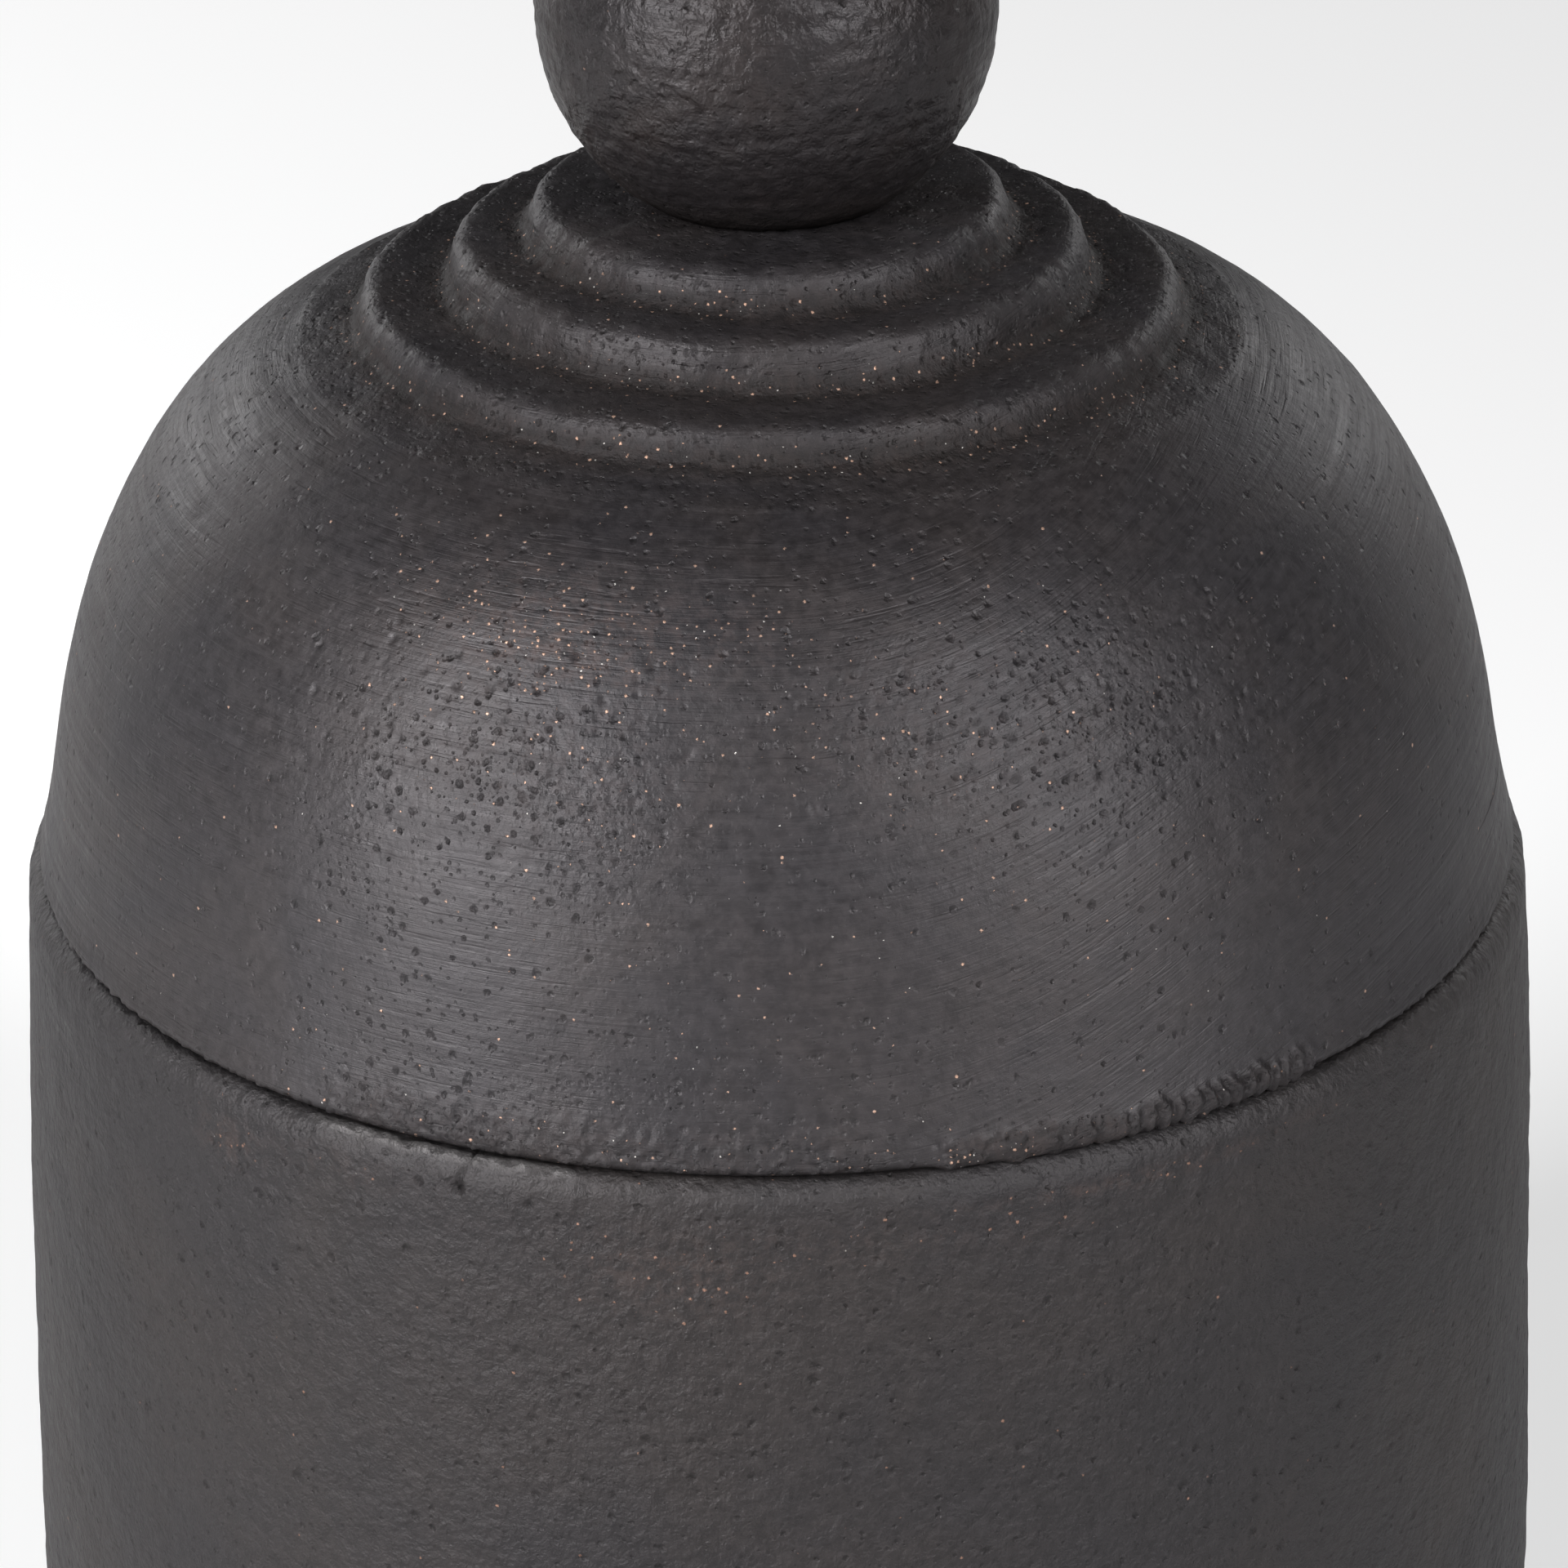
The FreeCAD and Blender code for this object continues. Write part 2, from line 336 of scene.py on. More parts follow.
# black patina drifting to brown in soft clouds
def makePatinaTint():
    group, given, results = openGroup("patinaTint", [
        ("Vector", "Vector", None), ("Black", "Color", None), ("Brown", "Color", None),
        ("Cloud", "Float", 0.08),
    ], [("Color", "Color"), ("Mottle", "Float")])
    perMillimetre = place(group, "ShaderNodeVectorMath", {0: given["Vector"], "Scale": 1 / mm},
                          operation="SCALE").outputs[0]
    clouds = noiseAt(group, perMillimetre, given["Cloud"], 4.0, 0.6, 0.4)
    mottle = noiseAt(group, perMillimetre, 1.1, 5.0, 0.7)
    drift = spread(group, clouds, 0.36, 0.68)
    tint = blend(group, drift, given["Black"], given["Brown"])
    shade = spread(group, mottle, 0.3, 0.7, 0.72, 1.25)
    shaded = place(group, "ShaderNodeVectorMath", {0: tint, "Scale": shade}, operation="SCALE").outputs[0]
    group.links.new(shaded, results["Color"])
    group.links.new(mottle, results["Mottle"])
    return group


castGrain = makeCastGrain()
castPits = makeCastPits()
brushMarks = makeBrushMarks()
rubbedFlecksAndPaintedGlints = makeRubbedFlecksAndPaintedGlints()
patinaTint = makePatinaTint()


def makeIron(name, finish):
    # one recipe for the jar, the lid and the ball, with each piece's own values
    material = bpy.data.materials.new(name)
    material.use_nodes = True
    tree = material.node_tree
    shader = tree.nodes["Principled BSDF"]
    shader.inputs["Specular Tint"].default_value = (1.0, 0.955, 0.985, 1)    # a faint plum cast
    here = place(tree, "ShaderNodeTexCoord").outputs["Object"]

    def mark(label):
        return place(tree, "ShaderNodeAttribute", attribute_name=label).outputs["Fac"]

    def share(amount, source, start=0.0):
        return sums(tree, "MULTIPLY_ADD", source, amount, start)

    wear, crust, pitting = mark("wear"), mark("crust"), mark("pitting")
    sunk, paintedShade = mark("sunk"), mark("paintedShade")
    tint = useGroup(tree, patinaTint, {
        "Vector": here, "Black": finish["black"], "Brown": finish["brown"], "Cloud": finish["cloud"],
    })
    grain = useGroup(tree, castGrain, {
        "Vector": here, "Grain": finish["grain"], "Lumps": finish["lumps"],
    })
    pitShare = share(finish["patchPits"], pitting, finish["pitShare"])
    pits = useGroup(tree, castPits, {
        "Vector": here, "Spacing": finish["pitSpacing"], "Density": pitShare,
    })
    finePits = useGroup(tree, castPits, {
        "Vector": here, "Spacing": finish["pitSpacing"] * 0.55, "Density": pitShare,
    })
    brushed = useGroup(tree, brushMarks, {
        "Vector": here, "Climb": finish["brushClimb"], "Share": finish["brushShare"],
    })
    copper = mark("copper")
    fleckShare = share(0.5, copper, finish["fleckShare"])
    flecks = useGroup(tree, rubbedFlecksAndPaintedGlints, {
        "Vector": here, "Spacing": finish["fleckSpacing"], "Density": fleckShare,
        "Painted Glint Share": share(0.25, crust, 0.12),
    })

    # colour: patina, darker in pits and crust, lighter where rubbed; pale specks painted in as glints, and
    # painted shade in the seam's crevice and at the ball's foot
    holes = sums(tree, "MAXIMUM", pits["Pits"], share(0.7, finePits["Pits"]))
    holes = sums(tree, "MAXIMUM", holes, share(0.8, sunk))
    colour = blend(tree, share(0.32, holes), tint["Color"], finish["pitColour"])
    stained = sums(tree, "MULTIPLY", copper, spread(tree, tint["Mottle"], 0.42, 0.66))
    colour = blend(tree, share(0.42, stained), colour, finish["stain"])
    colour = blend(tree, share(0.8, crust), colour, finish["crustColour"])
    colour = blend(tree, share(0.8, wear), colour, finish["wornColour"])
    colour = blend(tree, share(0.85, flecks["Flecks"]), colour, finish["copper"])
    # painted highlight: pale specks stand in for glints on bare metal, more of them in the crust
    colour = blend(tree, flecks["PaintedGlints"], colour, finish["paintedGlint"])
    # painted shade: near-black colour and no gloss laid where shadow falls, in the crevice under the lid,
    # on the rim top beneath it and at the ball's foot
    colour = blend(tree, share(0.92, paintedShade), colour, finish["paintedShade"])
    tree.links.new(colour, shader.inputs["Base Color"])

    bright = sums(tree, "MAXIMUM", flecks["Flecks"], flecks["PaintedGlints"])
    metal = sums(tree, "MAXIMUM", share(0.45, wear), share(0.6, bright))
    tree.links.new(share(1.0, metal, finish["metal"]), shader.inputs["Metallic"])

    sheen = spread(tree, tint["Mottle"], 0.3, 0.75, finish["smooth"], finish["rough"])
    sheen = sums(tree, "ADD", sheen, share(0.22, crust))
    sheen = sums(tree, "ADD", sheen, share(0.08, holes))
    sheen = sums(tree, "SUBTRACT", sheen, share(0.12, wear))
    sheen = sums(tree, "ADD", sheen, share(0.3, brushed["Shine"]))
    tree.links.new(sheen, shader.inputs["Roughness"])
    dulled = sums(tree, "MAXIMUM", share(0.85, crust), share(0.35, holes))
    dulled = sums(tree, "MAXIMUM", dulled, paintedShade)
    gloss = share(-finish["specular"], dulled, finish["specular"])
    tree.links.new(gloss, shader.inputs["Specular IOR Level"])

    grainDepth = share(0.09, crust, finish["grainDepth"])
    grainDepth = sums(tree, "ADD", grainDepth, share(0.09, pitting))
    relief = sums(tree, "MULTIPLY", grain["Height"], grainDepth)
    relief = sums(tree, "SUBTRACT", relief, share(finish["pitDepth"], pits["Pits"]))
    relief = sums(tree, "SUBTRACT", relief, share(finish["pitDepth"] * 0.5, finePits["Pits"]))
    relief = sums(tree, "ADD", relief, share(finish["brushDepth"], brushed["Height"]))
    relief = sums(tree, "ADD", relief, share(0.03, bright))
    bump = place(tree, "ShaderNodeBump", {"Height": relief, "Strength": 1.0, "Distance": mm})
    tree.links.new(bump.outputs["Normal"], shader.inputs["Normal"])
    return material


# the lid, in mm: heights are above the rim
lidShape = {
    "dome": [(49.2, 0.0), (48.35, 4.2), (46.65, 13.0), (44.45, 20.0), (41.4, 26.0),
             (38.1, 30.4), (34.15, 33.75), (30.3, 35.75)],
    "ringFoot": 36.85,
    "rings": [(26.0, 39.1), (20.1, 42.35), (15.0, 44.95)],
    "ringRounding": 1.35,
    "ringHollow": 1.2,
    "ringLean": 0.7,
    "studHole": 3.3,
    "boss": (11.5, 38.4),
    "hollow": [(20.0, 34.4), (28.5, 31.4), (35.0, 26.9), (39.2, 21.0), (40.5, 16.0)],
    "spigot": (40.5, 45.0, -8.0),
    "groove": (43.4, -5.7, -2.3),
    "edge": 0.6,
    "turns": 360,
    "hemTurns": 1440,
    "hemTop": 6.6,
    "hemBlend": 4.6,
    "hemRoom": 2.4,
    "pitSpacing": 0.74,
    "pitSink": 0.45,
}

# the seam's relief on the hem, in mm
seam = {
    "crumbleTop": 4.4, "crumbleFull": 2.2, "crumbleRise": 0.17,
    "beadTop": 2.2, "knobSize": 1.15, "knobRise": 0.62,
    "crescentPitch": 1.05, "crescentRise": 0.36,
    "creviceTop": 0.58, "creviceDepth": 0.32,
}

lidMarks = {
    # angle, height above the rim, half width, half height, strength
    "pits": [(-21, 23, 6.5, 4.6, 1.0), (-14, 21.5, 4, 5.5, 0.9), (-24, 22, 14, 9, 0.35),
             (24, 24, 11, 6, 0.7), (-34, 20, 3, 5, 0.6), (8, 26, 8, 5, 0.5), (-12, 5, 18, 4, 0.5),
             (-95, 24, 14, 9, 0.6), (110, 20, 12, 8, 0.7), (170, 26, 15, 8, 0.8)],
    "copper": [(-19, 30, 8, 2.4, 1.5), (-7, 30.5, 6, 1.8, 0.7), (-16, 24, 10, 5, 0.30),
               (12, 26, 13, 6, 0.25), (0, 12, 34, 10, 0.07), (140, 29, 8, 3, 0.6)],
    # angle, half width, strength
    "beads": [(19, 9, 1.0), (34, 9, 0.9), (132, 14, 0.8), (205, 16, 0.8), (255, 12, 0.7)],
    "crumbs": [(-13, 24, 1.0), (150, 20, 0.8), (250, 14, 0.7)],
}

lidFinish = {
    "black": (0.0160, 0.0146, 0.0162, 1), "brown": (0.0208, 0.0178, 0.0180, 1), "cloud": 0.06,
    "pitColour": (0.006, 0.006, 0.006, 1), "crustColour": (0.010, 0.0085, 0.0075, 1),
    "wornColour": (0.075, 0.074, 0.078, 1), "copper": (0.50, 0.32, 0.24, 1),
    "stain": (0.050, 0.033, 0.029, 1), "paintedGlint": (0.66, 0.63, 0.60, 1), "paintedShade": (0.0045, 0.0036, 0.0033, 1),
    "metal": 0.04, "smooth": 0.42, "rough": 0.52, "specular": 0.40,
    "grain": 0.7, "lumps": 0.9, "grainDepth": 0.05,
    "pitShare": 0.16, "patchPits": 0.85, "pitSpacing": 0.75, "pitDepth": 0.12,
    "brushClimb": 0.3, "brushShare": 0.8, "brushDepth": 0.045, "fleckShare": 0.010, "fleckSpacing": 0.38,
}


def domeSide(shape, spacing):
    dome = [(shape["dome"][0][0] - 0.06, shape["edge"] + 0.3)] + shape["dome"][1:]
    return flowThrough(aboveRim(dome), spacing)


def lidOutline(shape):
    dome = shape["dome"]
    edge = shape["edge"]
    flange = arcAround((dome[0][0] - edge, rimTop + edge), edge, -90, -8, 3)
    side = domeSide(shape, 0.8)
    rings = shape["rings"]
    stairs = [(*dome[-1], 0)]
    for number, (radius, height) in enumerate(rings):
        foot = (radius + shape["ringLean"], shape["ringFoot"] if number == 0 else rings[number - 1][1])
        stairs.append((*foot, shape["ringHollow"]))
        stairs.append((radius - 0.1, height, shape["ringRounding"]))
    stairs.append((shape["studHole"], rings[-1][1], 0))
    stairs = [(radius, rimTop + height, rounding) for radius, height, rounding in stairs]
    crown = softCorners(stairs, 0.6)
    innerRadius, outerRadius, depth = shape["spigot"]
    floor, low, high = shape["groove"]
    inside = aboveRim([
        (shape["studHole"], shape["boss"][1]), shape["boss"],
    ]) + flowThrough(aboveRim(shape["hollow"]), 2.5) + aboveRim([
        (innerRadius, 8), (innerRadius, 0), (innerRadius, depth + 0.4), (innerRadius + 0.4, depth),
        (outerRadius - 0.4, depth), (outerRadius, depth + 0.4), (outerRadius, low), (floor, low),
        (floor, high), (outerRadius, high), (outerRadius, 0),
    ])
    return flange + side + crown[1:] + inside


def spanStrength(spans, angle):
    # soft stretches round the jar: middle angle, half width, strength
    strength = 0
    for middle, halfWidth, amount in spans:
        turn = abs((angle - middle + 180) % 360 - 180)
        strength = max(strength, amount * easeStep(halfWidth, halfWidth * 0.7, turn))
    return strength


def castWaves(point):
    # the slow unevenness that every face of the casting has
    return 0.10 * noise.noise(point / 13) + 0.04 * noise.noise(point / 3.1 + Vector((5, 0, 0)))


def pitDepth(point, spacing, share):
    # bowls about random seeds, deeper and wider where the seed is large
    if share <= 0.02:
        return 0
    reach, seeds = noise.voronoi(point / spacing)
    pick = noise.cell(seeds[0] * 31.7)
    if pick > share:
        return 0
    size = 0.24 + 0.30 * noise.cell(seeds[0] * 17.3 + Vector((3, 1, 2)))
    return easeStep(size, 0.05, reach[0]) * size * spacing


def lidSurface(point, normal):
    height = point.z - rimTop
    radius = math.hypot(point.x, point.y)
    outward = normal.x * point.x + normal.y * point.y
    # the lowest edge is drawn in to make room for the hem
    room = lidShape["hemRoom"] * easeStep(lidShape["hemBlend"], 2.6, height) if radius > 46 else 0
    if height < 0.05 or radius < 3.6 or normal.z < -0.5 or outward < -0.2 * radius:
        rise = 0.05 * noise.noise(point / 3) if height > 9 and radius > 13 else 0
        return rise, room, (0, 0, 0, 0, 0, 0)
    angle = bearing(point)
    rise = castWaves(point)
    pits = patchStrength(lidMarks["pits"], angle, height, radius)
    copper = patchStrength(lidMarks["copper"], angle, height, radius)
    crust = 0
    sunk = 0
    if height > lidShape["ringFoot"] - 1.2:
        # rings: sand-rough, with crust caught in their corners
        tooth = noise.fractal(point / 1.1, 0.8, 2.1, 3)
        corner = 9
        previous = lidShape["ringFoot"]
        for ringRadius, ringHeight in lidShape["rings"]:
            corner = min(corner, math.dist((radius, height), (ringRadius + 0.9, previous + 0.2)))
            previous = ringHeight
        crust = 0.12 + 0.5 * easeStep(1.8, 0.4, corner)
        rise += 0.12 * tooth + 0.16 * noise.noise(Vector((angle / 9, height / 1.5, 4)))
        copper = max(copper, 0.5 * easeStep(1.9, 0.5, corner))
        pits = max(pits, 0.6)
    elif height > lidShape["hemBlend"]:
        share = 0.95 * pits * easeStep(lidShape["hemTop"], 9, height)
        hollow = pitDepth(point, lidShape["pitSpacing"], share)
        rise -= lidShape["pitSink"] * hollow
        sunk = min(1, 2.2 * hollow)
        rise += 0.05 * pits * noise.noise(point / 0.55)
    return rise, room, (0, crust, pits, copper, sunk, 0)


def makeLid():
    form = turnOnLathe(lidOutline(lidShape), lidShape["turns"])
    # finer faces where the pits are thick
    lowest, highest = lidShape["hemTop"] + 5, 33.5
    pitted = []
    for edge in form.edges:
        middle = (edge.verts[0].co + edge.verts[1].co) / (2 * mm)
        height = middle.z - rimTop
        turn = abs(bearing(middle))
        onTheOutside = math.hypot(middle.x, middle.y) > 41 - 0.6 * (height - 26)
        if lowest < height < highest and turn < 46 and onTheOutside:
            pitted.append(edge)
    bmesh.ops.subdivide_edges(form, edges=pitted, cuts=3, use_grid_fill=True)
    sculptCasting(form, lidSurface)
    return finishPiece(form, "lidCasting", lidIron, "lid", ["lid_dome"])


def hemOutline(shape):
    # a thin band that wraps the lid's lowest edge, its upper end sunk in the dome
    edge = shape["edge"]
    inner = [(46.4, rimTop + shape["hemTop"] - 1.5), (46.4, rimTop + 1.0), (46.5, rimTop + 0.02)]
    under = arcAround((shape["dome"][0][0] - edge, rimTop + edge + 0.02), edge, -90, -8, 3)
    side = [spot for spot in domeSide(shape, 0.22) if spot[1] < rimTop + shape["hemTop"]]
    return inner + under + side


def hemSurface(point, normal):
    height = point.z - rimTop
    radius = math.hypot(point.x, point.y)
    if normal.x * point.x + normal.y * point.y < 0:
        return 0, 0, (0, 0, 0, 0, 0, 0)
    angle = bearing(point)
    reach = math.radians(angle) * 49
    bead = spanStrength(lidMarks["beads"], angle)
    crumbs = spanStrength(lidMarks["crumbs"], angle)
    dive = (height - lidShape["hemBlend"]) / (lidShape["hemTop"] - lidShape["hemBlend"])
    rise = castWaves(point) + 0.025 - 0.06 * min(1, max(0, dive))
    low = easeStep(4.2, 0.9, height)
    # crumbled sand above the seam
    sand = noise.noise(point / 0.42) + 0.8 * noise.noise(point / 0.9 + Vector((0, 7, 0)))
    crumble = crumbs * easeStep(seam["crumbleTop"], seam["crumbleFull"], height)
    rise += (0.02 * low + seam["crumbleRise"] * crumble) * sand
    sunk = min(1, 1.8 * crumble * max(0, -0.2 - sand))
    # the bead: loose blobs, then crescents laid over each other
    tall = seam["beadTop"] + 0.7 * noise.noise(Vector((reach / 1.9, 2, 8)))
    body = easeStep(tall + 0.2, tall - 0.7, height) * bead
    blobs = noise.voronoi(point / seam["knobSize"])[0]
    knobs = seam["knobRise"] * max(0, 1 - blobs[0] * 1.7) + 0.36 * noise.noise(point / 0.42)
    knobs *= easeStep(-0.25, 0.2, noise.noise(Vector((reach / 2.1, 1, 4))))
    bow = (height - 1.2) ** 2 * 0.45
    along = (reach + bow + 0.5 * noise.noise(point / 1.6)) / seam["crescentPitch"]
    crescent = 0.5 + 0.5 * math.sin(along * math.tau)
    ripples = seam["crescentRise"] * crescent ** 1.4 + 0.28 * noise.noise(point / 0.44) - 0.06
    toRipples = easeStep(23, 27, angle) if angle > 0 else 0.4
    rise += body * (knobs * (1 - toRipples) + ripples * toRipples)
    # the crevice under the lid's edge, choked where the bead runs
    clear = 1 - min(1, bead * (0.95 + 0.5 * noise.noise(Vector((reach / 1.1, 0, 3)))))
    ragged = seam["creviceTop"] + 0.26 * noise.noise(Vector((reach / 0.8, 5, 1)))
    ragged += 0.2 * noise.noise(Vector((reach / 0.3, 5, 9)))
    gap = clear * easeStep(ragged + 0.18, ragged - 0.3, height)
    rise *= 1 - gap
    crust = max(0.5 * gap, 0.4 * body, low * (0.15 + 0.3 * crumbs) * (0.6 + 0.5 * sand))
    copper = max((0.6 - 0.35 * toRipples) * body, 0.25 * crumble,
                 patchStrength(lidMarks["copper"], angle, height, radius))
    pits = max(0.7 * crumble, 0.5 * body, patchStrength(lidMarks["pits"], angle, height, radius))
    # the crevice also gets painted shade in the last mark
    return rise, seam["creviceDepth"] * gap, (0, min(1, max(0, crust)), pits, copper, sunk, 0.15 * gap)


def makeHem():
    turns = lidShape["hemTurns"] // 1
    form = turnOnLathe(hemOutline(lidShape), turns)
    sculptCasting(form, hemSurface)
    return finishPiece(form, "lidHem", lidIron, "lid", [])


# the jar, in mm: the wall's heights are from the rim, the cavity's from the table
jarShape = {
    "rim": 50.0, "rimRounding": (1.3, 2.1),
    "wall": [(50.02, -2.1), (50.9, -16.0), (51.82, -38.75), (52.4, -60.0), (52.54, -76.25)],
    "foot": (52.54, 5.0),
    "cavity": (44.5, 8.0, 81.5),
    "mouth": (45.7, 0.6),
    "recess": (28.0, 1.5),
    "turns": 360,
    "lipTurns": 1440,
    "lipDepth": 6.6,
    "lipBlend": 4.6,
}

jarMarks = {
    "pits": [(-14, -18, 12, 7, 0.45), (4, -12, 8, 8, 0.3), (22, -17, 9, 7, 0.5), (33, -27, 10, 6, 0.5),
             (12, -30, 12, 9, 0.35), (-50, -20, 12, 14, 0.4), (80, -40, 20, 14, 0.5),
             (180, -40, 25, 18, 0.5), (-120, -60, 20, 12, 0.5)],
    "copper": [(-43, -3.5, 2.6, 1.5, 1.1), (-7, -6.0, 5.5, 2.4, 0.7), (28, -2.3, 12, 0.5, 0.9),
               (-33, -2.5, 5, 1.2, 0.4), (0, -4.0, 16, 1.3, 0.35)],
    "chips": [(-25, 12, 1.0), (120, 20, 0.6), (215, 24, 0.8)],
    "rough": [(0, 26, 0.6), (-60, 30, 0.3), (160, 60, 0.5)],
    "knock": (-20.1, -1.9),    # way round the rim from the front, height from the rim
}

jarFinish = {
    "black": (0.0135, 0.0122, 0.0130, 1), "brown": (0.0172, 0.0146, 0.0142, 1), "cloud": 0.05,
    "pitColour": (0.008, 0.0075, 0.0075, 1), "crustColour": (0.011, 0.010, 0.0095, 1),
    "wornColour": (0.11, 0.105, 0.105, 1), "copper": (0.26, 0.15, 0.11, 1),
    "stain": (0.050, 0.031, 0.025, 1), "paintedGlint": (0.30, 0.28, 0.26, 1), "paintedShade": (0.0045, 0.0036, 0.0033, 1),
    "metal": 0.03, "smooth": 0.45, "rough": 0.56, "specular": 0.32,
    "grain": 0.9, "lumps": 1.8, "grainDepth": 0.17,
    "pitShare": 0.12, "patchPits": 0.6, "pitSpacing": 0.95, "pitDepth": 0.17,
    "brushClimb": 0.0, "brushShare": 0.5, "brushDepth": 0.014, "fleckShare": 0.005, "fleckSpacing": 0.42,
}


def rimCurve(shape, count):
    across, down = shape["rimRounding"]
    return [
        (shape["rim"] - across + across * math.sin(turn), rimTop - down + down * math.cos(turn))
        for turn in (math.pi / 2 * step / count for step in range(count + 1))
    ]


def jarWall(shape, spacing):
    return flowThrough(aboveRim(shape["wall"]), spacing)


def jarOutline(shape):
    wall = jarWall(shape, 0.85)
    footRadius, footRounding = shape["foot"]
    foot = arcAround((footRadius - footRounding, padFoot + footRounding), footRounding, 0, -90, 10)
    recessRadius, recessDepth = shape["recess"]
    cavityRadius, cavityFloor, cavityTop = shape["cavity"]
    mouthRadius, chamfer = shape["mouth"]
    under = [
        (40, padFoot), (recessRadius + 0.4, padFoot), (recessRadius, padFoot + 0.4),
        (recessRadius, padFoot + recessDepth), (14, padFoot + recessDepth), (0, padFoot + recessDepth),
    ]
    floor = [(0, cavityFloor), (15, cavityFloor), (30, cavityFloor)]
    corner = arcAround((cavityRadius - 2, cavityFloor + 2), 2, -90, 0, 4)
    inside = straightRun(corner[-1], (cavityRadius, cavityTop), 8)
    step = mouthRadius - cavityRadius
    mouth = [
        (mouthRadius, cavityTop + step), (mouthRadius, rimTop - 4), (mouthRadius, rimTop - chamfer),
        (mouthRadius + chamfer, rimTop), (47.6, rimTop),
    ]
    return rimCurve(shape, 5) + wall[1:] + foot[1:] + under + floor + corner + inside + mouth


def jarWaves(point):
    return (0.12 * noise.noise(point / 17) + 0.09 * noise.noise(point / 3.4)
            + 0.06 * noise.noise(point / 1.6))


def jarSurface(point, normal):
    drop = point.z - rimTop
    radius = math.hypot(point.x, point.y)
    outward = normal.x * point.x + normal.y * point.y
    if radius < 47.7 or (outward < 0 and radius < 46.5):
        return 0.06 * noise.noise(point / 4) if drop < -1 and radius < 45 else 0, 0, (0, 0.25, 0, 0, 0, 0)
    angle = bearing(point)
    rise = jarWaves(point)
    pits = patchStrength(jarMarks["pits"], angle, drop, radius)
    copper = patchStrength(jarMarks["copper"], angle, drop, radius)
    if drop > -jarShape["lipBlend"]:
        rise -= 0.8 * easeStep(-jarShape["lipBlend"], -2.8, drop)    # makes room for the lip
    return rise, 0, (0, 0, pits, copper, 0, 0)


def makeJar():
    form = turnOnLathe(jarOutline(jarShape), jarShape["turns"])
    sculptCasting(form, jarSurface)
    return finishPiece(form, "jarCasting", jarIron, "jar", ["jar_body"])


def lipOutline(shape):
    # a band round the rim's outer corner, its lower end sunk in the wall
    depth = shape["lipDepth"]
    inner = [(48.6, rimTop - depth + 1.2), (47.2, rimTop - 2.5), (47.2, rimTop - 0.01)]
    wall = [spot for spot in jarWall(shape, 0.24) if spot[1] > rimTop - depth]
    return inner + rimCurve(shape, 12) + wall[1:]


def lipSurface(point, normal):
    drop = point.z - rimTop
    radius = math.hypot(point.x, point.y)
    # inward faces and the inside of the rim get crust and a little painted shade
    if normal.x * point.x + normal.y * point.y + normal.z < 0 or radius < 48.3:
        return 0, 0, (0, 0.5, 0, 0, 0, 0.25)
    angle = bearing(point)
    reach = math.radians(angle) * 50
    chips = spanStrength(jarMarks["chips"], angle)
    rough = spanStrength(jarMarks["rough"], angle)
    dive = (-jarShape["lipBlend"] - drop) / (jarShape["lipDepth"] - jarShape["lipBlend"])
    rise = jarWaves(point) + 0.025 - 0.06 * min(1, max(0, dive))
    tooth = 0.5 + 0.5 * noise.fractal(Vector((reach / 1.3, drop / 0.6, 3)), 0.8, 2.1, 3)
    sand = noise.noise(point / 0.5)
    ledge = easeStep(48.5, 48.9, radius) * easeStep(-1.7, -0.6, drop)
    lip = easeStep(48.7, 49.0, radius) * easeStep(-0.75 + 0.5 * (tooth - 0.5), -0.2, drop)
    rise += lip * chips * (0.46 * tooth - 0.08) + ledge * 0.04 * sand
    rise += rough * 0.06 * sand * easeStep(-0.9, -2.0, drop) * easeStep(-4.6, -3.6, drop)
    # one knocked pit beside the bright chips, with a nick up to the seam
    pit = math.dist((reach, drop), jarMarks["knock"])
    nick = abs(reach - jarMarks["knock"][0] - 0.2 - 0.5 * (drop + 1)) if drop > -1.7 else 9
    sunk = max(easeStep(0.6, 0.15, pit), 0.6 * easeStep(0.26, 0.05, nick))
    rise -= 0.42 * sunk
    wear = max((0.08 + 0.06 * chips) * ledge, chips * lip * (0.1 + 0.9 * tooth)) * (1 - sunk)
    copper = patchStrength(jarMarks["copper"], angle, drop, radius)
    pits = patchStrength(jarMarks["pits"], angle, drop, radius)
    pits = max(pits, 0.4 * rough * easeStep(-0.9, -2.0, drop))
    # painted shade on the rim top under the lid's edge, where its shadow falls
    paintedShade = 0.25 * easeStep(48.95, 48.6, radius) if drop > -0.6 else 0
    return rise, 0, (min(1, wear) * (1 - paintedShade), 0, pits, copper, sunk, paintedShade)


def makeLip():
    turns = jarShape["lipTurns"] // 1
    form = turnOnLathe(lipOutline(jarShape), turns)
    sculptCasting(form, lipSurface)
    return finishPiece(form, "jarLip", jarIron, "jar", [])


# the ball stands on the lid's platform, with a blind bore for its stud
ballShape = {
    "radius": 14.6, "rise": 12.2, "fineness": 7,
    "bore": 3.05, "boreDepth": 14.5, "boreSides": 48,
}

ballFinish = {
    "black": (0.0105, 0.0090, 0.0095, 1), "brown": (0.0142, 0.0112, 0.0108, 1), "cloud": 0.12,
    "pitColour": (0.006, 0.0055, 0.0055, 1), "crustColour": (0.009, 0.0075, 0.007, 1),
    "wornColour": (0.06, 0.055, 0.055, 1), "copper": (0.30, 0.19, 0.15, 1),
    "stain": (0.035, 0.024, 0.020, 1), "paintedGlint": (0.35, 0.33, 0.31, 1), "paintedShade": (0.0045, 0.0036, 0.0033, 1),
    "metal": 0.04, "smooth": 0.36, "rough": 0.46, "specular": 0.31,
    "grain": 0.6, "lumps": 1.8, "grainDepth": 0.11,
    "pitShare": 0.14, "patchPits": 0.3, "pitSpacing": 0.8, "pitDepth": 0.09,
    "brushClimb": 0.12, "brushShare": 0.7, "brushDepth": 0.022, "fleckShare": 0.006, "fleckSpacing": 0.40,
}


